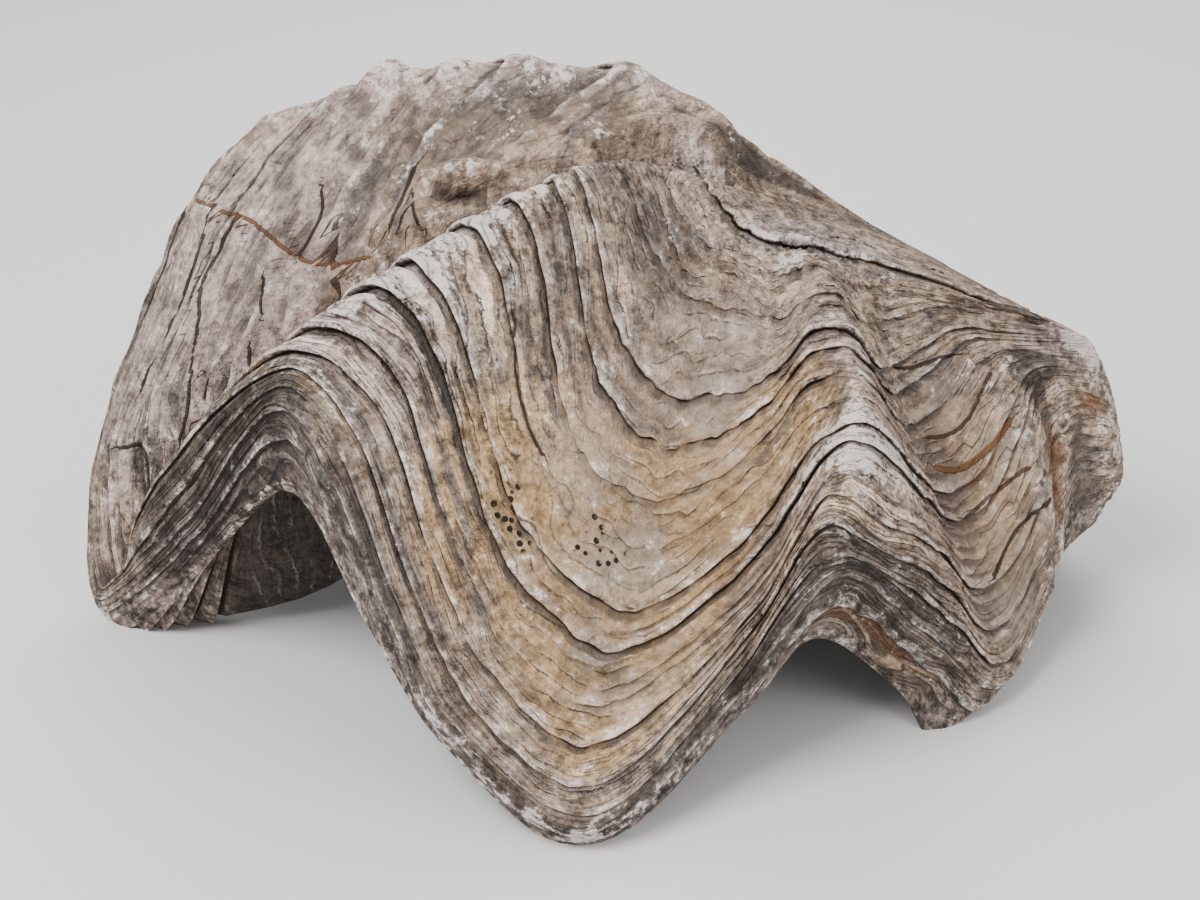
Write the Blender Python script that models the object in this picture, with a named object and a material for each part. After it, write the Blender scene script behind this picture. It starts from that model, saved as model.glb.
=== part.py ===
# Fossil oyster shell: one thick, strongly ribbed valve that lies hollow side down.
#
# The outer face is drawn by rays that leave the beak, which is high at the back right,
# and run over the ribs and valleys down to the lip. Each ray has one point per growth
# station. A closed spline joins the rays across, and an open one joins the stations
# along, so a line of constant station is a growth line of the shell.
#
# +X is the viewer's right, +Y is the back, +Z is up, and the feet stand at z = 0.

import bmesh
import bpy
import numpy as np
from mathutils import Vector, noise

MM = 0.001

# Driving dimensions, in millimetres
BEAK = (87, 87, 104)
HOLLOW_TOP = (45, 45, 80)   # where the inner face's own rays start, well inside the beak
FOOT_SNAP = 0.6         # points this close to the ground are worn down to it
LUMP_SIZE = 34          # spacing of the broad swellings of the outer face
LUMP_HEIGHT = 0.9       # how far they rise and sink

# How finely the faces are cut
COLUMNS_PER_RAY = 5
INNER_ROWS = 9
SLOPE_REACH = 0.1       # the outer face's slope is read this far to either side of a point

# Rays of the outer face, in order round the beak, in millimetres. Each gives the wall's
# thickness, then its points: keel, upper, middle and lower stations, shoulder, brow, lip.
RAYS = {
    "rib 0 crest": (15, (58, 76, 126), (33, 68, 147), (-3, 67, 160), (-49, 67, 160),
                    (-80, 63, 153), (-106, 67, 141), (-118, 77, 120)),
    "rib 0 front": (12, (52, 70, 127), (27, 61, 146), (-21, 53, 149), (-70, 49, 141),
                    (-102, 49, 136), (-125, 53, 121), (-134, 67, 104)),
    "rib 0 flank": (12, (46, 63, 126), (18, 53, 145), (-39, 35, 131), (-96, 31, 98),
                    (-126, 33, 97), (-144, 37, 79), (-147, 45, 66)),
    "rib 0 foot": (11, (46, 59, 122), (20, 51, 116), (-38, 31, 90), (-106, 23, 66),
                   (-144, 23, 54), (-158, 29, 40), (-154, 33, 26)),
    "valley 0": (15, (44, 55, 118), (20, 43, 110), (-36, 22, 68), (-92, 14, 24),
                 (-142, 13, 15), (-156, 11, 8), (-150, 9, -3)),
    "rib 1 left": (11, (40, 49, 122), (20, 37, 126), (-28, 11, 104), (-85, -13, 82),
                   (-125, -17, 66), (-120, -19, 50), (-117, -11, 32)),
    "rib 1 crest": (18, (36, 42, 131), (6, 17, 145), (-18, 7, 141), (-53, -25, 129),
                    (-75, -53, 115), (-81, -63, 104), (-85, -49, 72)),
    "rib 1 right": (12, (38, 38, 129), (16, 7, 125), (-4, -23, 109), (-29, -59, 86),
                    (-45, -83, 68), (-54, -91, 59), (-62, -77, 46)),
    "rib 1 foot": (12, (43, 36, 125), (28, 5, 114), (10, -33, 91), (-9, -71, 65),
                   (-26, -97, 42), (-38, -105, 32), (-41, -93, 18)),
    "valley 1": (15, (49, 35, 120), (40, 1, 104), (23, -43, 73), (10, -79, 42),
                 (-1, -109, 21), (-3, -117, 8), (-3, -109, -3)),
    "rib 2 left": (11, (57, 33, 118), (52, -7, 101), (45, -39, 81), (44, -67, 60),
                   (38, -85, 46), (34, -91, 31), (39, -75, 18)),
    "rib 2 crest": (18, (65, 33, 116), (66, -1, 113), (67, -27, 106), (67, -59, 104),
                    (68, -73, 94), (67, -79, 71), (59, -61, 33)),
    "rib 2 right": (10, (71, 33, 114), (75, -1, 104), (81, -23, 88), (88, -41, 72),
                    (94, -51, 52), (97, -57, 30), (84, -49, 10)),
    "valley 2": (14, (77, 33, 113), (83, 17, 97), (90, 3, 77), (101, -13, 52),
                 (112, -31, 27), (115, -43, 9), (97, -54, -3)),
    "rib 3 left": (10, (90, 32, 109), (98, 23, 99), (107, 15, 88), (119, 3, 69),
                   (131, -5, 45), (135, -9, 24), (129, -11, 7)),
    "rib 3 crest": (9, (108, 30, 103), (116, 25, 96), (124, 21, 88), (132, 17, 80),
                    (140, 13, 66), (143, 13, 40), (142, 13, 21)),
    "right end": (10, (127, 35, 95), (138, 31, 90), (147, 29, 84), (153, 27, 74),
                  (158, 27, 59), (161, 29, 41), (157, 33, 24)),
    "right back": (10, (122, 60, 91), (137, 54, 85), (148, 50, 77), (154, 48, 64),
                   (157, 48, 49), (158, 49, 34), (152, 50, 18)),
    "hinge right": (14, (112, 85, 90), (128, 79, 79), (142, 73, 64), (148, 71, 48),
                    (149, 71, 32), (148, 71, 20), (136, 67, 8)),
    "hinge middle": (14, (90, 95, 96), (93, 103, 84), (96, 109, 64), (98, 111, 40),
                     (98, 109, 22), (96, 105, 10), (86, 97, -3)),
    "hinge left": (14, (66, 97, 106), (52, 107, 90), (40, 113, 64), (34, 115, 40),
                   (30, 113, 24), (28, 109, 16), (26, 99, 12)),
    "back foot": (13, (58, 91, 116), (26, 103, 106), (-2, 109, 80), (-20, 113, 50),
                  (-30, 111, 24), (-34, 107, 8), (-34, 97, -3)),
    "back flank": (14, (56, 85, 122), (18, 93, 134), (-22, 101, 126), (-60, 109, 96),
                   (-84, 113, 60), (-96, 111, 34), (-94, 101, 22)),
    "rib 0 back": (12, (56, 81, 125), (16, 81, 146), (-24, 81, 154), (-66, 85, 144),
                   (-94, 89, 120), (-112, 93, 98), (-116, 91, 80)),
}

# Growth ledges: the station where an older layer ends, and the step down from it, mm
LEDGES = ((1.55, 0.7), (2.0, 1.6), (2.5, 2.2), (3.0, 2.4), (3.4, 1.8), (3.75, 2.0),
          (4.1, 3.6), (4.5, 2.2), (4.9, 2.6), (5.35, 2.4), (5.85, 2.2), (6.35, 2.4))
LEDGE_FOOT = 0.07       # a ledge drops over this much of a station
LEDGE_WANDER = 0.07     # how far a ledge strays from its station
LEDGE_CHANGE = 0.6      # how much its height varies along it
PLAIN_STATIONS = (0.5, 1.0)
LIP_STATION = 7
WALLED_STATIONS = (3.0, 4.0)    # the middle and lower ones, where the wall is measured


def spline_weights(count, places, closed):
    """Weights of a Catmull-Rom spline through `count` points, one row for each place."""
    weights = np.zeros((len(places), count))
    for row, place in enumerate(places):
        start = int(np.floor(place))
        if not closed:
            start = min(max(start, 0), count - 2)
        t = place - start
        blend = ((start, 2 * t**3 - 3 * t**2 + 1), (start + 1, 3 * t**2 - 2 * t**3))
        slopes = ((start, t**3 - 2 * t**2 + t), (start + 1, t**3 - t**2))
        for point, share in blend:
            weights[row, point % count] += share
        for point, share in slopes:
            ahead, behind, reach = point + 1, point - 1, 2
            if not closed:
                ahead, behind = min(ahead, count - 1), max(behind, 0)
                reach = ahead - behind
            weights[row, ahead % count] += share / reach
            weights[row, behind % count] -= share / reach
    return weights


def outer_net():
    """The outer face's own points: ray by ray, from the beak to the lip."""
    return np.array([[BEAK, *ray[1:]] for ray in RAYS.values()], dtype=float)


def smooth_face(columns, stations):
    """Points of the smooth outer face; a station may differ from column to column."""
    net = outer_net()
    across = spline_weights(net.shape[0], columns, closed=True)
    lines = np.einsum("cr,rsk->csk", across, net)
    face = np.empty((len(columns), stations.shape[1], 3))
    for column, line in enumerate(lines):
        along = spline_weights(net.shape[1], stations[column], closed=False)
        face[column] = along @ line
    return face


def outward_normals(face):
    """Unit normals of a grid of points that closes on itself across its columns."""
    across = np.roll(face, -1, axis=0) - np.roll(face, 1, axis=0)
    along = np.gradient(face, axis=1)
    normals = np.cross(along, across)
    return normals / np.linalg.norm(normals, axis=2, keepdims=True)


def ring_noise(turn, layer, detail):
    """Smooth noise that repeats after one turn round the beak, from -1 to 1."""
    angle = 2 * np.pi * turn
    return noise.noise(Vector((detail * np.cos(angle), detail * np.sin(angle), layer)))


def growth_rows(turns):
    """Stations of the rows of the outer face, and how far each stands out, in mm."""
    rows, heights = [], []
    for station in PLAIN_STATIONS:
        rows.append([station] * len(turns))
        heights.append([0.0] * len(turns))
    for number, (station, step) in enumerate(LEDGES):
        wander = [LEDGE_WANDER * ring_noise(turn, 7.3 * number, 5) for turn in turns]
        share = [1 + LEDGE_CHANGE * ring_noise(turn, 3.1 * number + 50, 6) for turn in turns]
        rows.append([station + w for w in wander])
        heights.append([0.5 * step * s for s in share])
        rows.append([station + LEDGE_FOOT + w for w in wander])
        heights.append([-0.5 * step * s for s in share])
    rows.append([LIP_STATION] * len(turns))
    heights.append([0.0] * len(turns))
    return np.array(rows, dtype=float).T, np.array(heights).T


def outer_face(columns, turns):
    """The outer face with its growth ledges and its broad swellings."""
    stations, heights = growth_rows(turns)
    face = smooth_face(columns, stations)
    lumps = [[noise.noise(Vector(point) / LUMP_SIZE) for point in line] for line in face]
    heights[:, :-1] += LUMP_HEIGHT * np.array(lumps)[:, :-1]
    return face + outward_normals(face) * heights[:, :, None]


def sunk_points():
    """Points of the rays' walled stations, moved in by the wall square to the face."""
    rays = np.arange(len(RAYS), dtype=float)
    walls = np.array([ray[0] for ray in RAYS.values()])

    def face_at(aside, ahead):
        stations = np.tile(WALLED_STATIONS, (len(rays), 1)) + ahead
        return smooth_face(rays + aside, stations)

    along = face_at(0, SLOPE_REACH) - face_at(0, -SLOPE_REACH)
    across = face_at(SLOPE_REACH, 0) - face_at(-SLOPE_REACH, 0)
    normals = np.cross(along, across)
    normals /= np.linalg.norm(normals, axis=2, keepdims=True)
    return face_at(0, 0) - normals * walls[:, None, None]


def inner_face(columns):
    """The inner face, from the lip up to the top of the hollow: its rays run through the
    sunk points, so the ribs are hollow near the lip and fade out under the beak."""
    tops = np.tile(HOLLOW_TOP, (len(RAYS), 1, 1))
    net = np.concatenate([tops, sunk_points(), outer_net()[:, -1:]], axis=1)
    last = net.shape[1] - 1
    places = last * (1 - np.arange(1, INNER_ROWS + 1) / (INNER_ROWS + 1))
    across = spline_weights(len(RAYS), columns, closed=True)
    along = spline_weights(net.shape[1], places, closed=False)
    return np.einsum("cr,rsk,ts->ctk", across, net, along)


def valve_mesh():
    """One closed mesh: beak, outer face, lip, inner face and the hollow's top."""
    ray_count = len(RAYS)
    columns = np.arange(ray_count * COLUMNS_PER_RAY) / COLUMNS_PER_RAY
    turns = columns / ray_count
    rows = np.concatenate([outer_face(columns, turns), inner_face(columns)], axis=1)
    around, deep = rows.shape[:2]

    model = bmesh.new()
    grid = [[model.verts.new(Vector(point) * MM) for point in line] for line in rows]
    beak = model.verts.new(Vector(BEAK) * MM)
    hollow = model.verts.new(Vector(HOLLOW_TOP) * MM)
    for column in range(around):
        here, there = grid[column], grid[(column + 1) % around]
        model.faces.new((beak, here[0], there[0]))
        model.faces.new((hollow, there[-1], here[-1]))
        for row in range(deep - 1):
            model.faces.new((here[row], here[row + 1], there[row + 1], there[row]))
    return model


def wear_feet_flat(model):
    """Cut the model off at the ground and close each foot with one flat face."""
    for vert in model.verts:
        if abs(vert.co.z) < FOOT_SNAP * MM:
            vert.co.z = 0.0
    geometry = [*model.verts, *model.edges, *model.faces]
    bmesh.ops.bisect_plane(model, geom=geometry, dist=1e-6, plane_co=(0, 0, 0),
                           plane_no=(0, 0, -1), clear_outer=True)
    rims = [edge for edge in model.edges if edge.is_boundary]
    bmesh.ops.holes_fill(model, edges=rims, sides=0)
    bmesh.ops.recalc_face_normals(model, faces=model.faces)


def centre_on_origin(model):
    """Put the origin under the middle of the model, at the ground."""
    corners = np.array([vert.co for vert in model.verts])
    low, high = corners.min(axis=0), corners.max(axis=0)
    middle = Vector(((low[0] + high[0]) / 2, (low[1] + high[1]) / 2, low[2]))
    bmesh.ops.translate(model, verts=model.verts, vec=-middle)


def shell_stone():
    """Grey-brown fossil shell, dull and dry."""
    material = bpy.data.materials.new("fossil shell")
    material.use_nodes = True
    shader = material.node_tree.nodes["Principled BSDF"]
    shader.inputs["Base Color"].default_value = (0.34, 0.28, 0.23, 1)
    shader.inputs["Roughness"].default_value = 0.85
    shader.inputs["Metallic"].default_value = 0.0
    return material


def oyster_shell():
    """Make the valve as one object."""
    name = "oyster_shell"
    model = valve_mesh()
    wear_feet_flat(model)
    centre_on_origin(model)
    mesh = bpy.data.meshes.new(name)
    model.to_mesh(mesh)
    model.free()
    mesh.shade_smooth()
    mesh.set_sharp_from_angle(angle=np.radians(40))
    mesh.materials.append(shell_stone())
    shell = bpy.data.objects.new(name, mesh)
    bpy.context.scene.collection.objects.link(shell)


for old in list(bpy.data.objects):
    bpy.data.objects.remove(old, do_unlink=True)
oyster_shell()
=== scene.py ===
# Fossil oyster shell, dressed: one thick ribbed valve with its growth layers, cracks and stains

import math

import bpy
import numpy as np
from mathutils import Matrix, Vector, noise


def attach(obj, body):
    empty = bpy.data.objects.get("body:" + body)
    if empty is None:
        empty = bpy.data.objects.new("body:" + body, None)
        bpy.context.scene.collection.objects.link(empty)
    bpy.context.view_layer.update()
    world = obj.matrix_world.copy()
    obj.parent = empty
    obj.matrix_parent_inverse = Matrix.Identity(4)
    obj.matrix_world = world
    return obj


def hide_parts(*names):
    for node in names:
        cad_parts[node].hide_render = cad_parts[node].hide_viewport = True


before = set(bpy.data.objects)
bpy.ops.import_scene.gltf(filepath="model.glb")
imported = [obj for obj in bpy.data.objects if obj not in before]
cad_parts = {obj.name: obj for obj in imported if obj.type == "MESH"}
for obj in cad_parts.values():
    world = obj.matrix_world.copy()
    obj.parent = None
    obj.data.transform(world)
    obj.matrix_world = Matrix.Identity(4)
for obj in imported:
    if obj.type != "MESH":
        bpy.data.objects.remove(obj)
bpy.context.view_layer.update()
bpy.ops.object.select_all(action="DESELECT")
print("frame loaded")

mm = 0.001

# The form: rays from the beak down to the lip, in mm. Each has the wall's thickness, the columns
# up to the next ray, then its points: keel, upper, middle, lower, shoulder, brow and lip
shellForm = {
    "beak": (87, 87, 104),
    "hollowTop": (45, 45, 80),
    "shift": (-1.343, -0.029, 0),   # puts the middle of the shell over the origin
    "columnShare": 0.9,             # of the columns that the rays give
    "rays": {
        "rib 0 crest": (15, 15, (58, 76, 126), (33, 68, 147), (-3, 67, 160), (-49, 67, 160),
                        (-80, 63, 153), (-106, 67, 141), (-118, 77, 120)),
        "rib 0 front": (12, 24, (52, 70, 127), (27, 61, 146), (-21, 53, 149), (-70, 49, 141),
                        (-102, 49, 136), (-125, 53, 121), (-134, 67, 104)),
        "rib 0 flank": (12, 20, (46, 63, 126), (18, 53, 145), (-39, 35, 131), (-96, 31, 98),
                        (-126, 33, 97), (-144, 37, 79), (-147, 45, 66)),
        "rib 0 foot": (11, 18, (46, 59, 122), (20, 51, 116), (-38, 31, 90), (-106, 23, 66),
                       (-144, 23, 54), (-158, 29, 40), (-154, 33, 26)),
        "valley 0": (15, 32, (44, 55, 118), (20, 43, 110), (-36, 22, 68), (-92, 14, 24),
                     (-142, 13, 15), (-156, 11, 8), (-150, 9, -3)),
        "rib 1 left": (11, 40, (40, 49, 122), (20, 37, 126), (-28, 11, 104), (-85, -13, 82),
                       (-125, -17, 66), (-120, -19, 50), (-117, -11, 32)),
        "rib 1 crest": (18, 32, (36, 42, 131), (6, 17, 145), (-18, 7, 141), (-53, -25, 129),
                        (-75, -53, 115), (-81, -63, 104), (-85, -49, 72)),
        "rib 1 right": (12, 18, (38, 38, 129), (16, 7, 125), (-4, -23, 109), (-29, -59, 86),
                        (-45, -83, 68), (-54, -91, 59), (-62, -77, 46)),
        "rib 1 foot": (12, 24, (43, 36, 125), (28, 5, 114), (10, -33, 91), (-9, -71, 65),
                       (-26, -97, 42), (-38, -105, 32), (-41, -93, 18)),
        "valley 1": (15, 27, (49, 35, 120), (40, 1, 104), (23, -43, 73), (10, -79, 42),
                     (-1, -109, 21), (-3, -117, 8), (-3, -109, -3)),
        "rib 2 left": (11, 28, (57, 33, 118), (52, -7, 101), (45, -39, 81), (44, -67, 60),
                       (38, -85, 46), (34, -91, 31), (39, -75, 18)),
        "rib 2 crest": (18, 28, (65, 33, 116), (66, -1, 113), (67, -27, 106), (67, -59, 104),
                        (68, -73, 94), (67, -79, 71), (59, -61, 33)),
        "rib 2 right": (10, 16, (71, 33, 114), (75, -1, 104), (81, -23, 88), (88, -41, 72),
                        (94, -51, 52), (97, -57, 30), (84, -49, 10)),
        "valley 2": (14, 20, (77, 33, 113), (83, 17, 97), (90, 3, 77), (101, -13, 52),
                     (112, -31, 27), (115, -43, 9), (97, -54, -3)),
        "rib 3 left": (10, 12, (90, 32, 109), (98, 23, 99), (107, 15, 88), (119, 3, 69),
                       (131, -5, 45), (135, -9, 24), (129, -11, 7)),
        "rib 3 crest": (9, 10, (108, 30, 103), (116, 25, 96), (124, 21, 88), (132, 17, 80),
                        (140, 13, 66), (143, 13, 40), (142, 13, 21)),
        "right end": (10, 9, (127, 35, 95), (138, 31, 90), (147, 29, 84), (153, 27, 74),
                      (158, 27, 59), (161, 29, 41), (157, 33, 24)),
        "right back": (10, 10, (122, 60, 91), (137, 54, 85), (148, 50, 77), (154, 48, 64),
                       (157, 48, 49), (158, 49, 34), (152, 50, 18)),
        "hinge right": (14, 16, (112, 85, 90), (128, 79, 79), (142, 73, 64), (148, 71, 48),
                        (149, 71, 32), (148, 71, 20), (136, 67, 8)),
        "hinge middle": (14, 17, (90, 95, 96), (93, 103, 84), (96, 109, 64), (98, 111, 40),
                         (98, 109, 22), (96, 105, 10), (86, 97, -3)),
        "hinge left": (14, 16, (66, 97, 106), (52, 107, 90), (40, 113, 64), (34, 115, 40),
                       (30, 113, 24), (28, 109, 16), (26, 99, 12)),
        "back foot": (13, 17, (58, 91, 116), (26, 103, 106), (-2, 109, 80), (-20, 113, 50),
                      (-30, 111, 24), (-34, 107, 8), (-34, 97, -3)),
        "back flank": (14, 18, (56, 85, 122), (18, 93, 134), (-22, 101, 126), (-60, 109, 96),
                       (-84, 113, 60), (-96, 111, 34), (-94, 101, 22)),
        "rib 0 back": (12, 18, (56, 81, 125), (16, 81, 146), (-24, 81, 154), (-66, 85, 144),
                       (-94, 89, 120), (-112, 93, 98), (-116, 91, 80)),
    },
}

# The growth layers. A main layer ends in an undercut ledge, and finer ones end between them
growthLayers = {
    "main": (                       # station and step in mm
        (0.75, 0.5), (1.15, 1.0), (1.55, 0.8), (2.0, 1.0), (2.57, 1.7), (2.85, 1.7), (3.2, 1.3), (3.5, 0.7),
        (3.85, 1.9), (4.1, 2.4), (4.5, 1.0), (4.8, 2.0), (5.25, 1.8), (5.7, 2.0), (6.1, 2.0), (6.45, 2.0)),
    "lip": 7,
    "bareRows": (0.0, 0.25, 0.5),   # stations of the rows above the first ledge
    "fineFrom": 1.5,                # no finer layers end above this station
    "wideGap": 0.38,                # a gap this wide takes two finer layers, else one
    "fineLate": 1.1,                # puts them a bit below even spacing
    "fineShare": 0.5,               # their step against the main one's
    "change": 0.7,                  # how much a ledge's height varies along it
    "wander": 0.05,                 # how far ledges stray, in stations
    "ripple": 0.03,                 # how far they waver on a small scale
    "chips": 1.3,                   # how far edges are chipped back, in mm
    "deepestChip": 2.0,             # of a step this high in mm
    "room": 0.32,                   # the highest fine step, as a share of the layer's length
    "mainRoom": 2.5,                # and the main ones get so much more
    "extra": (                      # station, ray, reach along, extra step in mm
        (1.15, 10.0, 2.6, 1.8), (1.15, 14.6, 1.4, 1.4), (4.8, 0.0, 1.6, 4.5), (4.5, 6.15, 0.4, 3.6),
        (4.1, 8.8, 1.2, 1.0), (3.5, 0.2, 0.8, 1.8), (2.85, 23.8, 0.9, 1.6), (3.85, 0.0, 0.9, 1.4),
        (5.7, 11.2, 1.2, 1.6), (5.25, 11.2, 1.2, 1.2), (6.45, 11.3, 1.2, 5.0), (6.45, 5.3, 0.9, 1.8),
        (5.7, 5.3, 0.9, 1.4), (2.57, 11.0, 0.8, 1.4), (2.85, 6.0, 0.6, 1.0), (4.1, 11.1, 0.9, 1.6),
        (3.2, 5.9, 0.6, 1.6), (3.5, 5.9, 0.6, 1.8), (3.85, 5.9, 0.6, 1.4), (4.1, 5.9, 0.6, 1.8),
        (4.8, 5.9, 0.5, 1.6), (6.1, 5.4, 0.8, 1.6), (5.25, 5.4, 0.7, 1.2)),
    # the lines sag along the middle of the sandy valley: shift at every half ray, from ray 6 on
    "sag": (0.0, 0.0, 0.13, 0.25, 0.28, 0.12, -0.09, -0.19, -0.29, -0.36, 0.05, 0.1, 0.0),
    "sagFrom": 6,
    "sagReach": (3.9, 2.2),         # middle station and reach of the sag
    "shift": (                      # other shifts: ray, station, reaches, how far
        (11.15, 4.6, 0.6, 1.3, 0.85), (6.0, 4.6, 0.35, 0.8, 0.25), (1.2, 4.4, 1.4, 1.2, 0.12),
        (13.6, 3.9, 0.5, 1.2, 0.2)),
}

# Rows of a ledge: station's offset, its share of the step, how far it slides down, edge (pale worn edge with
# a painted highlight), crack (painted shade in the undercut below it)
mainLedge = ((-0.05, 0.40, 0.0, 0.4, 0.0), (-0.004, 0.50, 0.06, 1.0, 0.0), (0.004, 0.28, 0.12, 0.4, 0.4),
             (0.010, -0.45, -0.42, 0.0, 1.0), (0.020, -0.50, -0.10, 0.0, 0.5), (0.05, -0.48, 0.0, 0.0, 0.0))
fineLedge = ((-0.02, 0.40, 0.0, 0.35, 0.0), (0.0, 0.50, 0.10, 0.9, 0.0), (0.008, -0.45, -0.28, 0.0, 0.9),
             (0.022, -0.50, 0.0, 0.0, 0.1))

innerFace = {
    "walled": (3.0, 4.0),       # stations where the wall is measured
    "slopeReach": 0.1,
    "stations": 4,              # from the lip up to the top of the hollow
    "rows": (0.012, 0.028, 0.032, 0.045, 0.062, 0.066, 0.08, 0.10, 0.104, 0.12, 0.145, 0.149, 0.17, 0.20,
             0.24, 0.29, 0.34, 0.40, 0.46, 0.52, 0.59, 0.66, 0.74, 0.82, 0.91),
    "ledges": {0.028: 2.4, 0.032: -1.0, 0.062: 2.4, 0.066: -1.4,     # row and height in mm
               0.10: 2.0, 0.104: -1.4, 0.145: 1.6, 0.149: -1.2},
    "change": 0.8,              # how much a ledge's height varies along it
}

relief = {
    "lumps": ((34, 0.9, 0.6), (14, 0.5, 1.7), (5, 0.20, 0.35)),    # spacing, height, more on plates, in mm
    "folds": (7, 12, 0.30),     # along, across the growth lines, and height in mm
    "grooves": (26, 1.1, 0.25),
    "plates": (10, 4, 0.6),     # broken plates of the left rib
    "furrows": (5, 2.2, 1.8),   # and its furrows
    "calming": 0.75,            # how much of it the calm places lose
}

# Where the surface has its own character: ray, station, reach along, reach down, strength
character = {
    "plates": ((0.6, 3.6, 2.3, 3.2, 1.0), (22.5, 3.6, 2.2, 4.0, 0.8), (19.5, 4.0, 3.0, 4.0, 0.6)),
    "calm": ((8.8, 3.3, 1.5, 1.6, 1.0), (13.4, 4.3, 0.8, 1.5, 1.0), (11.4, 6.9, 1.4, 0.35, 0.8)),
    "plain": ((16.2, 4.0, 1.3, 2.4, 0.9), (9.0, 6.7, 3.5, 0.45, 0.5)),
    "pages": ((5.9, 3.9, 0.8, 1.2, 1.0), (11.2, 5.5, 1.3, 1.0, 0.9), (5.5, 6.2, 1.0, 0.9, 0.9),
              (11.6, 6.5, 1.1, 0.5, 0.8)),
}

# Ridges and grooves that cross the layers: points of ray and station, half width, height in mm
crossings = {
    "eyePit": (((1.85, 3.17), (1.97, 3.08), (2.1, 2.96)), 5.0, -5.5),
    "eyeBrow": (((1.6, 3.3), (1.65, 3.1), (1.9, 2.88)), 4.5, 3.0),
    "endGroove": (((14.8, 4.3), (14.65, 4.9), (14.4, 5.4), (14.05, 5.9)), 5.0, -4.0),
    "valleyRim": (((14.6, 3.3), (14.3, 4.0), (14.05, 4.8), (13.8, 5.5)), 5.0, 2.2),
    "endLobe": (((15.5, 5.3), (15.7, 6.0)), 11.0, 3.0),
    "keelCrack": (((9.9, 1.1), (11.1, 1.12), (13.0, 1.06), (14.9, 0.98), (15.7, 1.9)), 1.8, -1.8),
    "topBumpA": (((0.1, 4.4), (0.2, 4.5)), 9.0, 4.6),
    "topBumpB": (((0.1, 3.92), (0.2, 3.92)), 6.0, 2.6),
    "topBumpC": (((0.1, 3.4), (0.2, 3.45)), 9.0, 1.8),
    "topLobe": (((23.8, 2.7), (24.1, 2.75)), 13.0, 3.6),
}

# Thin cracks: points of ray and station, half width in mm, how rusty
cracks = (
    (((1.5, 4.85), (1.9, 4.85), (2.2, 4.65), (2.8, 4.45), (3.1, 4.5)), 0.5, 0.0),
    (((1.0, 5.35), (1.6, 5.17), (2.0, 5.05), (2.6, 5.05)), 0.45, 0.0),
    (((1.0, 6.1), (1.4, 5.95), (1.8, 5.9)), 0.5, 0.0),
    (((2.6, 4.35), (2.9, 4.33), (3.05, 4.36)), 0.5, 0.0),
    (((1.3, 4.15), (1.45, 4.05), (1.7, 4.05)), 0.4, 0.0),
    (((1.6, 3.85), (1.85, 3.75), (2.1, 3.66)), 0.9, 0.1),
    (((1.8, 4.25), (2.05, 4.13)), 0.35, 0.0),
    (((2.4, 4.08), (2.55, 4.05)), 0.5, 0.0),
    (((1.7, 3.36), (2.05, 3.25)), 0.4, 0.0),
    (((1.1, 5.7), (1.4, 5.05), (1.5, 4.6), (1.7, 4.05), (2.05, 3.5)), 0.5, 1.0),
    (((3.0, 5.1), (3.1, 4.8), (3.8, 4.85)), 0.5, 0.0),
    (((1.35, 3.5), (1.6, 3.45), (1.9, 3.42)), 0.5, 0.0),
    (((13.05, 3.7), (13.4, 3.9), (13.8, 4.02), (14.1, 4.02)), 0.8, 0.9),
    (((13.1, 3.42), (13.6, 3.62), (14.2, 3.45)), 0.5, 0.2),
    (((13.0, 2.62), (13.4, 2.78), (13.85, 2.98)), 0.5, 0.0),
    (((13.15, 4.22), (13.5, 4.3), (14.0, 4.5)), 0.5, 0.5),
    (((13.2, 4.8), (13.6, 4.75), (14.1, 4.98)), 0.5, 0.0),
    (((6.6, 3.5), (6.9, 3.62), (7.3, 3.7)), 0.4, 0.0),
)
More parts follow.
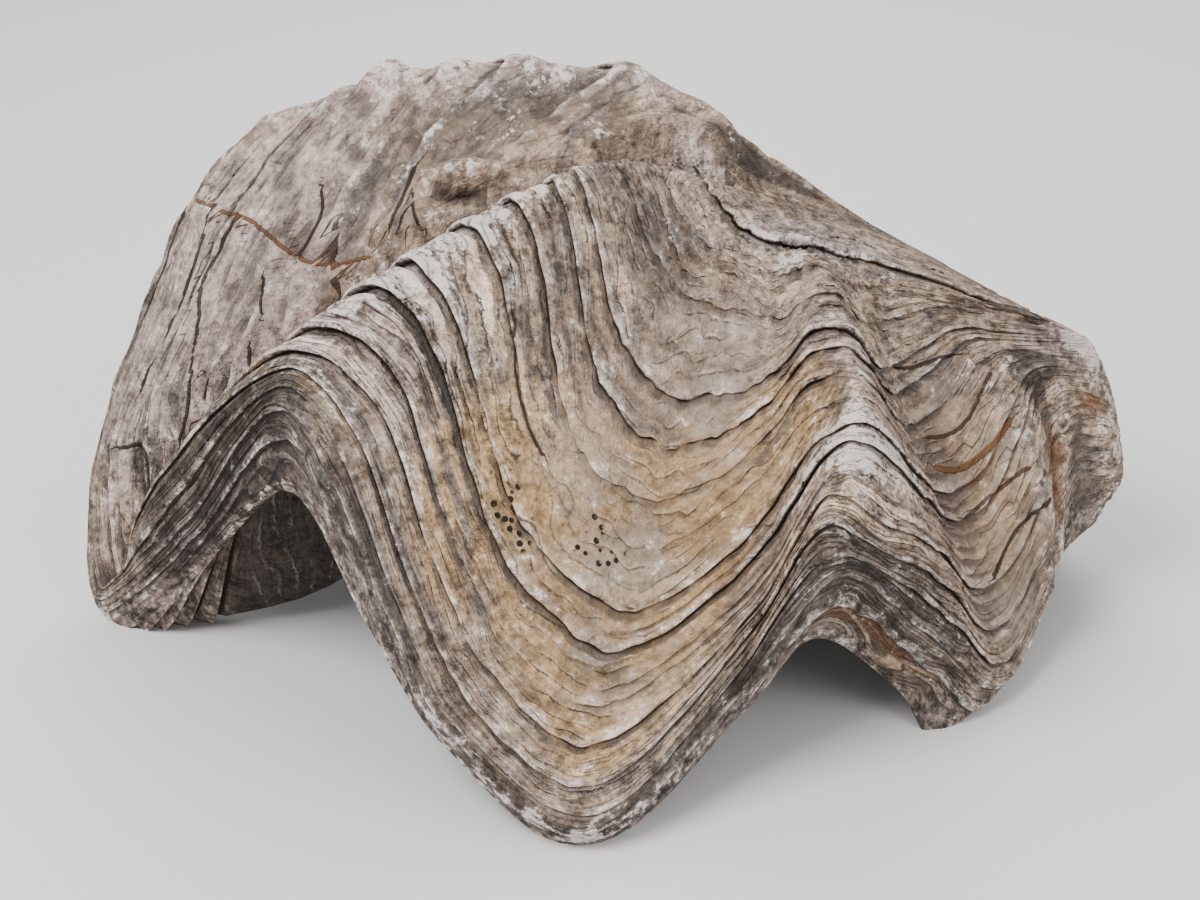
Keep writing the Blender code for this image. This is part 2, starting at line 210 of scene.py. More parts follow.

# Stains, darker patches and the two groups of borings: ray, station, reach along, reach down, strength
colourPatches = {
    "ochre": ((8.6, 3.8, 1.5, 1.1, 1.0), (9.8, 3.3, 1.2, 0.8, 0.9), (9.0, 4.6, 0.8, 0.6, 0.9),
              (7.1, 4.2, 0.5, 1.0, 0.8), (7.0, 3.2, 0.6, 0.8, 0.5), (13.5, 4.2, 0.7, 1.3, 0.5),
              (12.0, 6.9, 0.7, 0.4, 0.6), (6.0, 3.0, 0.4, 0.3, 0.3)),
    "dark": ((7.2, 1.9, 1.0, 0.5, 0.55), (5.4, 6.1, 0.9, 1.1, 1.0), (11.2, 5.8, 1.3, 0.8, 0.7),
             (8.5, 6.2, 2.5, 0.6, 0.5), (14.9, 3.7, 0.5, 0.6, 0.9), (1.0, 1.1, 0.8, 0.8, 0.8),
             (1.0, 3.2, 0.8, 0.7, 0.5), (16.2, 0.6, 0.8, 0.6, 0.6), (9.9, 6.2, 1.0, 0.7, 0.8),
             (6.9, 6.2, 0.8, 0.7, 0.8)),
    "lilac": ((1.8, 4.8, 1.6, 1.3, 1.0), (23.6, 4.0, 1.5, 2.0, 0.8), (15.9, 3.0, 0.9, 1.2, 0.9),
              (6.0, 4.4, 0.6, 1.0, 0.6), (11.1, 2.6, 1.0, 0.9, 0.5), (11.0, 0.9, 3.5, 0.3, 0.9),
              (3.0, 1.6, 1.3, 0.4, 0.8), (0.2, 3.3, 0.7, 1.2, 0.7)),
    "white": ((11.1, 4.05, 0.8, 0.4, 1.0), (6.7, 4.95, 0.2, 0.4, 0.4), (8.6, 6.3, 1.2, 0.4, 0.5),
              (11.0, 1.2, 2.4, 0.2, 0.8), (2.4, 1.5, 0.5, 0.4, 0.5), (5.9, 3.6, 0.4, 1.1, 1.0),
              (15.9, 2.9, 0.5, 0.6, 0.9), (23.7, 3.5, 1.2, 1.6, 0.35), (5.9, 5.1, 0.4, 0.25, 0.4)),
    "rust": ((14.5, 5.2, 0.4, 0.7, 1.0), (15.5, 4.7, 0.3, 0.35, 1.0), (11.3, 6.6, 0.9, 0.2, 0.9),
             (13.6, 3.85, 0.5, 0.1, 0.8), (12.1, 6.4, 0.3, 0.4, 0.6)),
    "borings": ((7.35, 3.9, 0.3, 0.16, 1.0), (8.2, 3.55, 0.35, 0.16, 1.0)),
}

crackReach = (9, 5)     # mm: where a crack's own mask starts, and over how much it grows to full
tooFar = 99             # mm, further than any crack


def splineWeights(count, places, closed):    # of a Catmull-Rom spline, for places of any shape
    places = np.asarray(places, dtype=float)
    start = np.floor(places).astype(int)
    if not closed:
        start = np.clip(start, 0, count - 2)
    t = places - start
    weights = np.zeros(places.shape + (count,))
    cells = tuple(np.indices(places.shape))

    def give(point, share):
        weights[cells + (point % count,)] += share

    give(start, 2 * t**3 - 3 * t**2 + 1)
    give(start + 1, 3 * t**2 - 2 * t**3)
    for point, share in ((start, t**3 - 2 * t**2 + t), (start + 1, t**3 - t**2)):
        ahead, behind = point + 1, point - 1
        if not closed:
            ahead, behind = np.minimum(ahead, count - 1), np.maximum(behind, 0)
        reach = ahead - behind
        give(ahead, share / reach)
        give(behind, -share / reach)
    return weights


rayNet = np.array([[shellForm["beak"], *ray[2:]] for ray in shellForm["rays"].values()], dtype=float)
rayCount = len(rayNet)


def faceAt(rays, stations):     # points of the smooth outer face, in mm
    across = splineWeights(rayCount, rays, True)
    along = splineWeights(rayNet.shape[1], stations, False)
    return np.einsum("...r,...s,rsk->...k", across, along, rayNet, optimize=True)


def unit(vectors):
    return vectors / np.maximum(np.linalg.norm(vectors, axis=-1, keepdims=True), 1e-9)


def ringPoint(turn, radius, layer):     # a point of a noise field that closes after one turn
    return Vector((radius * math.cos(2 * math.pi * turn), radius * math.sin(2 * math.pi * turn), layer))


def ringNoise(turns, radius, layers):
    turns, layers = np.broadcast_arrays(turns, layers)
    flat = [noise.noise(ringPoint(t, radius, k)) for t, k in zip(turns.ravel(), layers.ravel())]
    return np.array(flat).reshape(turns.shape)


def smooth(values, low, high):
    t = np.clip((values - low) / (high - low), 0, 1)
    return t * t * (3 - 2 * t)


def rayGap(rays, centre):       # how far rays lie from one ray, round the shell
    gap = np.abs(rays - centre) % rayCount
    return np.minimum(gap, rayCount - gap)


def columnRays():
    rays = []
    for number, ray in enumerate(shellForm["rays"].values()):
        count = round(ray[1] * shellForm["columnShare"])
        rays += [number + step / count for step in range(count)]
    return np.array(rays)


def ledgePlan():        # station, step, and whether it is a main ledge
    mains = growthLayers["main"]
    plan = []
    for (station, step), following in zip(mains, mains[1:] + ((growthLayers["lip"], 0),)):
        plan.append((station, step, True))
        if station > growthLayers["fineFrom"]:
            gap = following[0] - station
            count = 2 if gap > growthLayers["wideGap"] else 1
            for number in range(count):
                place = station + gap * (number + growthLayers["fineLate"]) / (count + 1)
                plan.append((place, step * growthLayers["fineShare"], False))
    return plan


def ledgeSteps(turns, rays):    # height in mm of each ledge at each column
    plan = ledgePlan()
    stations = np.array([station for station, step, main in plan])
    around = faceAt(rays[None, :], np.append(stations, growthLayers["lip"])[:, None])
    lengths = np.linalg.norm(np.diff(around, axis=0), axis=-1)
    lengths = np.minimum(lengths, np.roll(lengths, 1, axis=0))
    steps = []
    for number, (station, step, main) in enumerate(plan):
        calm = spotMark(rays, station, character["calm"])
        share = 1 + growthLayers["change"] * (1 - 0.7 * calm) * ringNoise(turns, 6, 3.1 * number + 50)
        if not main:    # the fine ones come and go
            share = share * smooth(ringNoise(turns, 3, 5.7 * number + 9), -0.35, 0.15)
        share = share * (0.8 + 0.6 * ringNoise(turns, 22, 2.3 * number))
        broken = smooth(ringNoise(turns, 13, 7.9 * number + 3), -0.15, 0.25)
        plates = spotMark(rays, station, character["plates"])
        pages = spotMark(rays, station, character["pages"])
        share = share * (1 - plates + plates * (0.8 * broken if main else 0)) * (1 + 0.4 * pages)
        share = share * (1 - (0.25 if main else 0.4) * calm)
        share = share * (1 - spotMark(rays, station, character["plain"]))
        height = step * np.maximum(share, 0.0)
        for place, ray, reach, extra in growthLayers["extra"]:
            if place == station:
                height = height + extra * np.exp(-(rayGap(rays, ray) / reach) ** 2)
        limit = growthLayers["room"] * lengths[number] * (growthLayers["mainRoom"] if main else 1)
        steps.append(limit * np.tanh(height / np.maximum(limit, 1e-6)))
    return np.array(steps)


def growthRows():       # one tuple a row: station, ledge, lift, slide, edge (worn, with a painted highlight), crack (painted shade)
    rows = [(station, 0, 0, 0, 0, 0) for station in growthLayers["bareRows"]]
    plan = ledgePlan()
    for number, (station, step, main) in enumerate(plan):
        rows += [(station + row[0], number) + row[1:] for row in (mainLedge if main else fineLedge)]
        following = plan[number + 1][0] if number + 1 < len(plan) else growthLayers["lip"]
        if main:
            rows.append(((station + following) / 2 + 0.01, number, 0.0, 0.0, 0.1, 0.0))
    rows.append((growthLayers["lip"], 0, 0, 0, 0.5, 0))
    return np.array(rows)


def lumpNoise(face, spacing):
    flat = [noise.noise(Vector(point) / spacing) for point in face.reshape(-1, 3)]
    return np.array(flat).reshape(face.shape[:2])


def lineShift(rays, stations):      # how far the growth lines are pushed along the face
    sag = growthLayers["sag"]
    places = np.clip((rays - growthLayers["sagFrom"]) * 2, 0, len(sag) - 1)
    middle, reach = growthLayers["sagReach"]
    shift = splineWeights(len(sag), places, False) @ np.array(sag)
    shift = shift * np.exp(-((stations - middle) / reach) ** 4)
    for ray, station, along, down, far in growthLayers["shift"]:
        spread = (rayGap(rays, ray) / along) ** 2 + ((stations - station) / down) ** 2
        shift += far * np.exp(-spread)
    return shift


def outerFace(rays, turns):
    rows = growthRows()
    stations = rows[:, 0][None, :]
    ledges = rows[:, 1].astype(int)
    turn = turns[:, None]
    fade = smooth(stations, 0.4, 1.2) * smooth(growthLayers["lip"] - stations, 0.0, 0.4)
    wander = growthLayers["wander"] * ringNoise(turn, 5, 1.3 * stations)
    wander = wander + growthLayers["ripple"] * ringNoise(turn, 24, 3.0 * stations + 31)
    places = stations + (wander + lineShift(rays[:, None], stations)) * fade
    face = faceAt(rays[:, None], places)
    across = np.roll(face, -1, axis=0) - np.roll(face, 1, axis=0)
    down = unit(np.gradient(face, axis=1))
    normals = unit(np.cross(down, across))
    normals[:, 0] = unit(normals[:, 1].mean(axis=0))

    plates = spotMark(rays[:, None], stations, character["plates"])
    calm = spotMark(rays[:, None], stations, character["calm"])
    rugged = 1 - relief["calming"] * calm
    steps = ledgeSteps(turns, rays)[ledges].T
    lift = steps * rows[:, 2]
    slide = steps * rows[:, 3]
    bites = np.maximum(ringNoise(turn, 34, 1.7 * ledges[None, :]), 0) * smooth(rows[:, 4], 0.3, 0.6)
    slide = slide - growthLayers["chips"] * bites * np.minimum(steps, growthLayers["deepestChip"]) * rugged
    for name, layer in (("folds", 0), ("grooves", 70)):
        along, cross, high = relief[name]
        lift = lift + high * fade * rugged * ringNoise(turn, along, cross * stations + layer)
    along, cross, high = relief["plates"]
    broken = smooth(ringNoise(turn, along, cross * stations + 20), -0.12, 0.12)
    lift = lift + high * plates * (broken - 0.5)
    along, cross, high = relief["furrows"]
    lift = lift + high * plates * fade * ringNoise(turn, along, cross * stations + 40)
    for spacing, high, more in relief["lumps"]:
        lift = lift + (high + more * plates) * rugged * smooth(stations, 0.0, 0.8) * lumpNoise(face, spacing)
    gaps = {name: trackGap(face, crossing[0]) for name, crossing in crossings.items()}
    for name, (track, halfWidth, height) in crossings.items():
        lift = lift + height * smooth(halfWidth - gaps[name], 0, halfWidth)
    lift[:, -1] = 0
    points = face + normals * lift[..., None] + down * slide[..., None]
    marks = {
        # edge: paler worn edge with a painted highlight along each ledge's top
        "edge": rows[:, 4] * smooth(steps, 0.3, 1.6),
        # crack: painted shade in the undercut below each ledge
        "crackAndShade": rows[:, 5] * smooth(steps, 0.2, 1.4),
        "station": np.broadcast_to(stations, steps.shape),
        "inside": np.zeros(steps.shape),
        # gap: darker along the keel crack, and painted shadow in the eye pit
        "gap": np.maximum(smooth(1.8 - gaps["keelCrack"], 0, 1.8), smooth(2.4 - gaps["eyePit"], 0, 2.4)),
        "calm": calm,
        "pages": spotMark(rays[:, None], stations, character["pages"]),
        "plates": plates,
    }
    marks.update(crackMarks(rays[:, None], places, face))
    for name, patches in colourPatches.items():
        marks[name] = spotMark(rays[:, None], stations, patches)
    return points, marks


def trackGap(face, track):      # distance in mm of each point from a line on the face
    corners = np.array(track)
    places = np.linspace(0, len(corners) - 1, 8 * len(corners))
    fine = [np.interp(places, range(len(corners)), corners[:, axis]) for axis in (0, 1)]
    line = faceAt(fine[0], fine[1])
    gaps = [np.linalg.norm(face - point, axis=-1) for point in line]
    return np.min(gaps, axis=0)


def crackMarks(rays, stations, face):       # side: signed distance over the half width
    rays, stations = np.broadcast_arrays(rays, stations)
    side = np.full(rays.shape, float(crackReach[0]))
    near, rusty = np.zeros(rays.shape), np.zeros(rays.shape)
    closest = np.full(rays.shape, float(tooFar))
    for track, halfWidth, rust in cracks:
        corners = np.array(track)
        places = np.linspace(0, len(corners) - 1, 10 * len(corners))
        line = splineWeights(len(corners), places, False) @ corners
        low, high = line.min(axis=0) - 0.5, line.max(axis=0) + 0.5
        spots = np.nonzero((rays > low[0]) & (rays < high[0]) & (stations > low[1]) & (stations < high[1]))
        gaps = np.linalg.norm(face[spots][:, None] - faceAt(line[:, 0], line[:, 1])[None], axis=-1)
        nearest = gaps.argmin(axis=1)
        gap = gaps.min(axis=1)
        tangent = np.gradient(line, axis=0)[nearest]
        away = np.stack([rays[spots], stations[spots]], axis=1) - line[nearest]
        sign = np.sign(tangent[:, 0] * away[:, 1] - tangent[:, 1] * away[:, 0])
        mask = smooth(crackReach[0] - gap, 0, crackReach[1])
        better = gap < closest[spots]
        found = ((side, sign * gap / halfWidth), (near, mask), (rusty, rust * mask), (closest, gap))
        for mark, values in found:
            mark[spots] = np.where(better, values, mark[spots])
    return {"crackSide": side, "crackNear": near, "crackRust": rusty}


def spotMark(rays, stations, patches):      # 0 to 1: how strongly the patches cover each point
    mark = np.zeros(np.broadcast(rays, stations).shape)
    for ray, station, along, down, strength in patches:
        spread = (rayGap(rays, ray) / along) ** 2 + ((stations - station) / down) ** 2
        mark = np.maximum(mark, strength * np.exp(-spread**2))
    return mark


def ridgeMark(points):      # above 0 on ridges and below it in grooves, by the points around
    reach = 3
    low, high = np.roll(points, reach, axis=0), np.roll(points, -reach, axis=0)
    padded = np.pad(points, ((0, 0), (reach, reach), (0, 0)), mode="edge")
    around = (low + high + padded[:, :-2 * reach] + padded[:, 2 * reach:]) / 4
    across = high - low
    down = padded[:, 2 * reach:] - padded[:, :-2 * reach]
    normals = unit(np.cross(down, across))
    return np.clip(((points - around) * normals).sum(axis=-1), -1.5, 1.5)


def sunkPoints():       # the inner rays' points: moved in by the wall, square to the outer face
    rays = np.arange(rayCount)[:, None]
    stations = np.array(innerFace["walled"])[None, :]
    reach = innerFace["slopeReach"]
    down = faceAt(rays, stations + reach) - faceAt(rays, stations - reach)
    across = faceAt(rays + reach, stations) - faceAt(rays - reach, stations)
    walls = np.array([ray[0] for ray in shellForm["rays"].values()])
    return faceAt(rays, stations) - unit(np.cross(down, across)) * walls[:, None, None]


def hollowFace(rays, turns):    # from the lip up to the top of the hollow
    top = np.tile(shellForm["hollowTop"], (rayCount, 1, 1))
    net = np.concatenate([top, sunkPoints(), rayNet[:, -1:]], axis=1)
    last = net.shape[1] - 1
    shares = np.array(innerFace["rows"] + (1.0,))
    across = splineWeights(rayCount, rays, True)
    along = splineWeights(net.shape[1], last * (1 - shares), False)
    face = np.einsum("cr,ts,rsk->ctk", across, along, net, optimize=True)
    around = np.roll(face, -1, axis=0) - np.roll(face, 1, axis=0)
    normals = unit(np.cross(unit(np.gradient(face, axis=1)), around))
    lift = np.zeros(face.shape[:2])
    steps = np.array([innerFace["ledges"].get(float(share), 0) for share in shares])
    for column, share in enumerate(shares):
        lift[:, column] = steps[column] * (1 + innerFace["change"] * ringNoise(turns, 7, 11 * share))
    for spacing, high, more in relief["lumps"]:
        lift += high * smooth(shares, 0.0, 0.05) * lumpNoise(face, spacing)
    lift[:, -1] = 0
    points = face + normals * lift[..., None]
    outside = ("edge", "crackAndShade", "gap", "calm", "pages", "plates", "crackSide", "crackNear", "crackRust")
    marks = {name: np.zeros(lift.shape) for name in (*outside, *colourPatches)}
    # painted shade below the inner face's undercut ledges
    marks["crackAndShade"] += np.maximum(-steps, 0)
    stations = growthLayers["lip"] + innerFace["stations"] * shares
    marks["station"] = np.broadcast_to(stations[None, :], lift.shape)
    marks["inside"] = np.broadcast_to(smooth(shares, 0.02, 0.2)[None, :], lift.shape)
    return points, marks


ringRadius = 4                  # of the circle that the finish's noise follows round the shell
weldGap = 1e-6                  # in metres
smoothUpTo = math.radians(50)   # sharper edges stay sharp


def growValve():
    rays = columnRays()
    turns = rays / rayCount
    outer, outerMarks = outerFace(rays, turns)
    inner, innerMarks = hollowFace(rays, turns)
    points = np.concatenate([outer, inner], axis=1) + shellForm["shift"]
    points = np.concatenate([points, points[:1]])      # the last column closes on the first
    columns, rows = points.shape[:2]
    print("shell grid:", columns, "columns by", rows, "rows")

    bpy.ops.mesh.primitive_grid_add(x_subdivisions=columns - 1, y_subdivisions=rows - 1, size=1)
    shell = bpy.context.object
    shell.name = "fossil_oyster_shell"
    flat = np.zeros(len(shell.data.vertices) * 3)
    shell.data.vertices.foreach_get("co", flat)
    flat = flat.reshape(-1, 3)
    column = np.rint((flat[:, 0] + 0.5) * (columns - 1)).astype(int)
    row = np.rint((flat[:, 1] + 0.5) * (rows - 1)).astype(int)
    shell.data.vertices.foreach_set("co", (points[column, row] * mm).ravel())

    wrapped = column % (columns - 1)
    marks = {name: np.concatenate([mark, innerMarks[name]], axis=1) for name, mark in outerMarks.items()}
    marks["ridge"] = ridgeMark(points[:-1])
    for name, mark in marks.items():
        layer = shell.data.attributes.new(name, "FLOAT", "POINT")
        layer.data.foreach_set("value", mark[wrapped, row].astype(np.float32))
    angle = 2 * math.pi * turns[wrapped]
    station = marks["station"][wrapped, row]
    ring = np.stack([ringRadius * np.cos(angle), ringRadius * np.sin(angle), station], axis=1)
    layer = shell.data.attributes.new("ring", "FLOAT_VECTOR", "POINT")
    layer.data.foreach_set("vector", ring.astype(np.float32).ravel())
    shell.data.update()

    bpy.ops.object.mode_set(mode="EDIT")
    bpy.ops.mesh.select_all(action="SELECT")
    bpy.ops.mesh.remove_doubles(threshold=weldGap)
    bpy.ops.mesh.select_all(action="SELECT")
    bpy.ops.mesh.normals_make_consistent(inside=False)
    bpy.ops.mesh.bisect(plane_co=(0, 0, 0), plane_no=(0, 0, 1), use_fill=True, clear_inner=True,
                        threshold=weldGap)
    bpy.ops.mesh.select_all(action="SELECT")
    bpy.ops.mesh.normals_make_consistent(inside=False)
    bpy.ops.object.mode_set(mode="OBJECT")
    bpy.ops.object.shade_smooth_by_angle(angle=smoothUpTo)
    return shell


class Wire:     # an output socket: arithmetic on it adds Math nodes
    def __init__(self, graph, socket):
        self.graph, self.socket = graph, socket

    def __add__(self, other):
        return self.graph.math("ADD", self, other)

    def __sub__(self, other):
        return self.graph.math("SUBTRACT", self, other)

    def __rsub__(self, other):
        return self.graph.math("SUBTRACT", other, self)

    def __mul__(self, other):
        return self.graph.math("MULTIPLY", self, other)

    __radd__ = __add__
    __rmul__ = __mul__


class Graph:    # a material's nodes
    def __init__(self, name):
        self.material = bpy.data.materials.new(name)
        self.material.use_nodes = True
        self.tree = self.material.node_tree
        self.tree.nodes.clear()

    def add(self, kind, settings=None, values=None, output=0):
        node = self.tree.nodes.new(kind)
        for key, value in (settings or {}).items():
            setattr(node, key, value)
        for key, value in (values or {}).items():
            if isinstance(value, Wire):
                self.tree.links.new(value.socket, node.inputs[key])
            else:
                node.inputs[key].default_value = value
        return Wire(self, node.outputs[output]) if node.outputs else node

    def math(self, operation, first, second=0.0):
        return self.add("ShaderNodeMath", {"operation": operation}, {0: first, 1: second})

    def mark(self, name):
        return self.add("ShaderNodeAttribute", {"attribute_name": name}, output=2)

    def vector(self, name):
        return self.add("ShaderNodeAttribute", {"attribute_name": name}, output=1)

    def scaled(self, vector, scale):
        return self.add("ShaderNodeVectorMath", {"operation": "MULTIPLY"}, {0: vector, 1: scale})

    def noise(self, vector, scale, detail, roughness=0.55):
        values = {"Vector": vector, "Scale": scale, "Detail": detail, "Roughness": roughness}
        return self.add("ShaderNodeTexNoise", None, values)

    def toneOf(self, count):    # one even value for each whole number of a count
        settings = {"noise_dimensions": "1D"}
        return self.add("ShaderNodeTexWhiteNoise", settings, {"W": self.math("FLOOR", count)})

    def ease(self, value, low, high, first=0.0, last=1.0):
        settings = {"interpolation_type": "SMOOTHSTEP"}
        return self.add("ShaderNodeMapRange", settings, {0: value, 1: low, 2: high, 3: first, 4: last})

    def blend(self, share, first, second, mode="MIX"):
        settings = {"data_type": "RGBA", "blend_type": mode, "clamp_factor": True}
        return self.add("ShaderNodeMix", settings, {0: share, 6: first, 7: second}, output=2)


shellFinish = {
    "lilac": (0.47, 0.365, 0.33, 1),
    "greyBrown": (0.22, 0.157, 0.115, 1),
    "pale": (0.45, 0.335, 0.25, 1),
    "white": (0.85, 0.765, 0.72, 1),
    "ochre": (0.30, 0.185, 0.085, 1),
    "sand": (0.48, 0.325, 0.18, 1),
    "slate": (0.15, 0.130, 0.122, 1),
    "bluish": (0.27, 0.235, 0.21, 1),
    # dark patches and crust, also painted shade towards the lip and in grooves
    "dark": (0.060, 0.048, 0.043, 1),
    "crust": (0.30, 0.235, 0.21, 1),
    # near black of cracks, slits and borings, also painted shade under the ledges and in the eye pit
    "crackAndShade": (0.018, 0.011, 0.008, 1),
    "rust": (0.16, 0.062, 0.018, 1),
    # painted shade: near black for the hollow's inner face
    "inside": (0.038, 0.030, 0.026, 1),
    "layersPerStation": 9,
    "pagesPerStation": 14,
    "threadsPerStation": 42,
    "boringsPerMetre": 330,
    "bumpDepth": 0.0013,        # in metres
}


def fossilFinish():
    look = shellFinish
    g = Graph("fossil shell")
    ring = g.vector("ring")
    place = g.add("ShaderNodeTexCoord", output=3)
    blotch = g.noise(place, 26, 4, 0.6)
    mottle = g.noise(place, 120, 5, 0.75)
    speck = g.noise(place, 420, 3, 0.7)
    ragged = g.add("ShaderNodeVectorMath", {"operation": "MULTIPLY_ADD"},
                   {0: (mottle - 0.5) * 0.12, 1: (0, 0, 1), 2: ring})
    bands = g.noise(g.scaled(ragged, (0.9, 0.9, 7)), 1, 5, 0.62)
    threads = g.noise(g.scaled(ragged, (4, 4, look["threadsPerStation"])), 1, 3, 0.7)
    sway = g.noise(g.scaled(ring, (0.8, 0.8, 1.1)), 1, 2, 0.5)
    comeAndGo = g.noise(g.scaled(ring, (2.4, 2.4, 4.3)), 1, 4, 0.65)

    # thin layers: each has its own tone and ends in a pale edge with a slit below it
    torn = ((mottle - 0.5) * 1.1 + (speck - 0.5) * 0.35) * (1 - g.mark("calm") * 0.65)
    crust = g.ease(g.mark("station") + (blotch - 0.5) * 2.2 - g.mark("pages"), 5.9, 6.6)
    smoother = 1 - g.mark("calm") * 0.4 - g.mark("plates") * 0.8 - crust * 0.6
    count = g.mark("station") * look["layersPerStation"] + sway * 7 + torn
    layer = g.math("FRACT", count)
    tone = g.toneOf(count)
    shown = g.ease(comeAndGo, 0.40, 0.58) * smoother
    slit = g.ease(layer, 0.0, 0.15, 1.0, 0.0) * shown
    rim = g.ease(layer, 0.72, 0.97) * shown
    pageCount = g.mark("station") * look["pagesPerStation"] + sway * 18 + torn * 1.2
    pages = g.ease(g.mark("pages") + (comeAndGo - 0.5) - g.mark("white") * 0.6, 0.2, 0.6)
    page = g.math("FRACT", pageCount)
    pageTone = g.toneOf(pageCount)
    pageSlit = g.ease(page, 0.0, 0.3, 1.0, 0.0) * pages

    # breaks between small plates, cracks drawn along their own lines, and borings
    breaks = g.add("ShaderNodeTexVoronoi", {"feature": "DISTANCE_TO_EDGE"},
                   {"Vector": g.scaled(ragged, (2.6, 2.6, 6)), "Scale": 1, "Randomness": 1})
    broken = g.ease(breaks, 0.005, 0.05, 1.0, 0.0) * g.ease(blotch + (comeAndGo - 0.5), 0.48, 0.62)
    broken = broken * (1 - g.mark("calm")) * 0.7
    side = g.mark("crackSide") + (mottle - 0.5) * 1.6 + (speck - 0.5) * 0.8
    split = g.ease(g.math("ABSOLUTE", side), 0.7, 1.5, 1.0, 0.0) * g.mark("crackNear")
    cells = g.add("ShaderNodeTexVoronoi", None, {"Vector": place, "Scale": look["boringsPerMetre"]})
    bored = g.ease(cells, 0.27, 0.36, 1.0, 0.0) * g.ease(g.mark("borings"), 0.15, 0.4)
    bored = bored * g.ease(mottle, 0.38, 0.46)

    def patch(name, softness=0.2, wobble=0.7):
        rough = g.mark(name) + (blotch - 0.5) * wobble + (bands - 0.5) * wobble + (mottle - 0.5) * wobble
        return g.ease(rough, 0.5 - softness, 0.5 + softness)

    colour = g.blend(g.ease(blotch + (bands - 0.5), 0.35, 0.65), look["greyBrown"], look["pale"])
    colour = g.blend(patch("lilac") * 0.85, colour, look["lilac"])
    sandy = g.ease(blotch + (bands - 0.5) * 0.6 + (speck - 0.5) * 0.4, 0.3, 0.7)
    colour = g.blend(patch("ochre"), colour, g.blend(sandy, look["ochre"], look["sand"]))
    bluish = g.ease(blotch + (bands - 0.5) * 0.5, 0.5, 0.62) * g.mark("calm") * 0.6
    colour = g.blend(bluish, colour, look["bluish"])
    uneven = 1 - g.mark("calm") * 0.6
    fibre = (threads - 0.5) * (1 - g.mark("plates") * 0.7) * uneven
    colour = g.blend(g.ease(bands + fibre * 0.5, 0.46, 0.36) * uneven * 0.8, colour, look["slate"])
    colour = g.blend(patch("dark") * 0.85, colour, look["dark"])
    # painted shade: darker towards the lip, broken up by the mottle
    lipShade = g.ease(g.mark("station"), 5.2, 6.5)
    colour = g.blend(lipShade * g.ease(mottle + blotch, 0.7, 1.2, 0.8, 0.3), colour, look["dark"])
    # painted shade: the inner face of the hollow goes near black
    colour = g.blend(g.mark("inside") * 0.97, colour, look["inside"])
    colour = g.blend(shown * 0.8, colour, g.blend(1.0, colour, g.ease(tone, 0, 1, 0.55, 1.4), "MULTIPLY"))
    colour = g.blend(pages, colour, g.blend(1.0, colour, g.ease(pageTone, 0, 1, 0.7, 2.2), "MULTIPLY"))
    crusted = g.blend(g.ease(mottle * 0.5 + speck * 0.5, 0.40, 0.60), look["dark"], look["crust"])
    colour = g.blend(crust * (1 - g.mark("inside")) * 0.75, colour, crusted)
    grain = g.ease(mottle + fibre * 0.3 + (speck - 0.5) * 0.9, 0.2, 0.8, 0.3, 1.7)
    grained = 1 - g.mark("calm") * 0.6 - g.mark("plates") * 0.3
    colour = g.blend(grained, colour, g.blend(1.0, colour, grain, "MULTIPLY"))
    colour = g.blend(broken * 0.7, colour, look["crackAndShade"])
    high = g.ease(g.mark("ridge"), 0.05, 0.9)
    whites = mottle * 0.6 + speck * 0.4 + g.mark("white") * 0.13 + high * 0.07 + rim * 0.03
    whites = g.ease(whites, 0.575, 0.655)
    colour = g.blend(whites * (1 - g.mark("inside")) * 0.85, colour, look["white"])
    # whiter along the layers' rims, and a paler worn edge with a painted highlight on each ledge's top
    colour = g.blend((rim * 0.35 + g.mark("edge") * 0.5) * g.ease(mottle, 0.38, 0.62), colour, look["white"])
    # painted shade: darker in the grooves that the ridge mark finds
    low = g.ease(g.mark("ridge"), -0.02, -0.6)
    colour = g.blend(low * 0.65, colour, look["dark"])
    colour = g.blend(pageSlit * 0.55, colour, look["crackAndShade"])
    colour = g.blend(slit * (1 - g.mark("white") * 0.5) * 0.85, colour, look["crackAndShade"])
    rusty = g.ease(g.mark("rust") + (threads - 0.5) * 1.4 + (mottle - 0.5) * 1.2, 0.55, 0.9)
    colour = g.blend(rusty * g.ease(mottle, 0.35, 0.6, 0.95, 0.45), colour, look["rust"])
    # painted shade: near black in the undercut below each ledge
    colour = g.blend(g.ease(g.mark("crackAndShade"), 0.35, 0.9) * 0.95, colour, look["crackAndShade"])
    # darker along the keel crack, and painted shadow in the eye pit
    colour = g.blend(g.mark("gap") * 0.9, colour, look["crackAndShade"])
    colour = g.blend(split * 0.9, colour, g.blend(g.mark("crackRust"), look["crackAndShade"], look["rust"]))
    colour = g.blend(bored, colour, look["crackAndShade"])

    height = (layer * shown * 0.9 + page * pages * 0.7 + (threads * 0.2 + mottle * 1.7) * uneven
              + speck * 0.6 - slit * 0.6 - pageSlit * 0.5 - split * 0.9)
    bump = {"Strength": 1.0, "Distance": look["bumpDepth"], "Height": height}
    normal = g.add("ShaderNodeBump", None, bump)
    rough = g.ease(speck, 0.2, 0.8, 0.78, 0.95)
    shader = g.add("ShaderNodeBsdfPrincipled", None,
                   {"Base Color": colour, "Roughness": rough, "Normal": normal, "Specular IOR Level": 0.25})
    g.add("ShaderNodeOutputMaterial", None, {"Surface": shader})
    return g.material


shell = growValve()
shell.data.materials.clear()
shell.data.materials.append(fossilFinish())
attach(shell, "root")
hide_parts("oyster_shell")
print("valve done:", sum(len(face.vertices) - 2 for face in shell.data.polygons), "triangles")


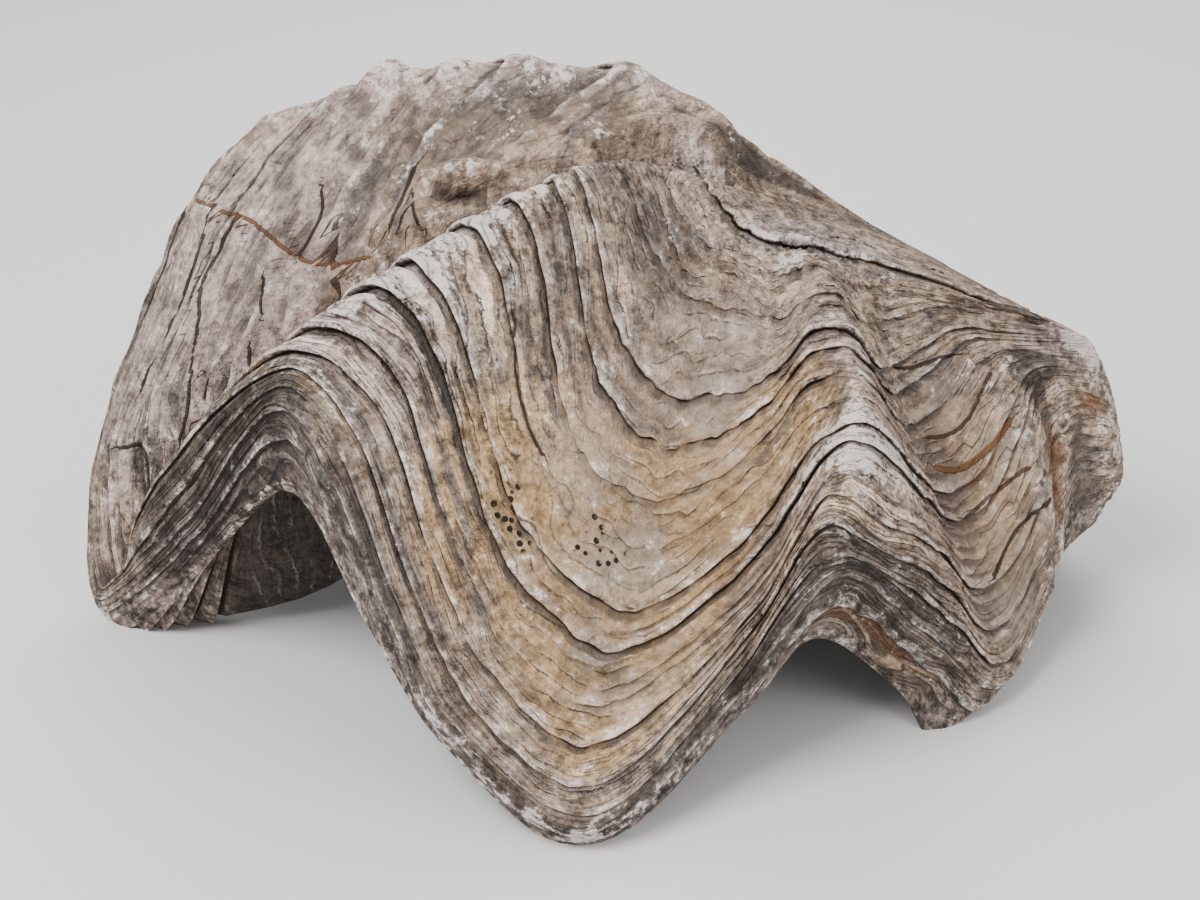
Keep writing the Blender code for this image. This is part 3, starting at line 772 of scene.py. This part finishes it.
def layFloor():
    bpy.ops.object.select_all(action="DESELECT")
    bpy.ops.mesh.primitive_plane_add(size=8, location=(0, 0, 0))
    floor = bpy.context.object
    floor.name = "pale_floor"
    g = Graph("pale floor")
    tone = g.noise(g.add("ShaderNodeTexCoord", output=3), 3, 2)
    colour = g.blend(tone, (0.80, 0.80, 0.79, 1), (0.84, 0.84, 0.83, 1))
    shader = g.add("ShaderNodeBsdfPrincipled", None, {"Base Color": colour, "Roughness": 0.9})
    g.add("ShaderNodeOutputMaterial", None, {"Surface": shader})
    floor.data.materials.append(g.material)


studio = {      # place, size in metres, power in watts
    "key": ((-0.55, -0.55, 0.95), 0.6, 15),
    "fill": ((0.8, -0.7, 0.6), 0.8, 5),
    "back": ((0.1, 0.9, 0.9), 0.8, 8),
}
lightsAimAt = (0, 0, 0.06)
room = {"colour": (0.97, 0.95, 0.93, 1), "strength": 0.75}


def lightStudio():
    for name, (place, size, power) in studio.items():
        light = bpy.data.lights.new(name, "AREA")
        light.size = size
        light.energy = power
        lamp = bpy.data.objects.new(name, light)
        lamp.location = place
        lamp.rotation_euler = (Vector(lightsAimAt) - lamp.location).to_track_quat("-Z", "Y").to_euler()
        bpy.context.scene.collection.objects.link(lamp)
    world = bpy.data.worlds.new("pale room")
    world.use_nodes = True
    background = world.node_tree.nodes["Background"]
    background.inputs["Color"].default_value = room["colour"]
    background.inputs["Strength"].default_value = room["strength"]
    bpy.context.scene.world = world


lookFrom = {"target": (-0.0015, -0.017, 0.07), "elevation": 24, "distance": 0.62, "lens": 65}


def placeCamera():
    elevation = math.radians(lookFrom["elevation"])
    back = Vector((0, -math.cos(elevation), math.sin(elevation)))
    lens = bpy.data.cameras.new("camera")
    lens.lens = lookFrom["lens"]
    lens.sensor_width = 36
    lens.clip_start = 0.01
    camera = bpy.data.objects.new("camera", lens)
    camera.location = Vector(lookFrom["target"]) + back * lookFrom["distance"]
    camera.rotation_euler = (-back).to_track_quat("-Z", "Y").to_euler()
    bpy.context.scene.collection.objects.link(camera)
    bpy.context.scene.camera = camera


layFloor()
lightStudio()
placeCamera()
print("studio done")
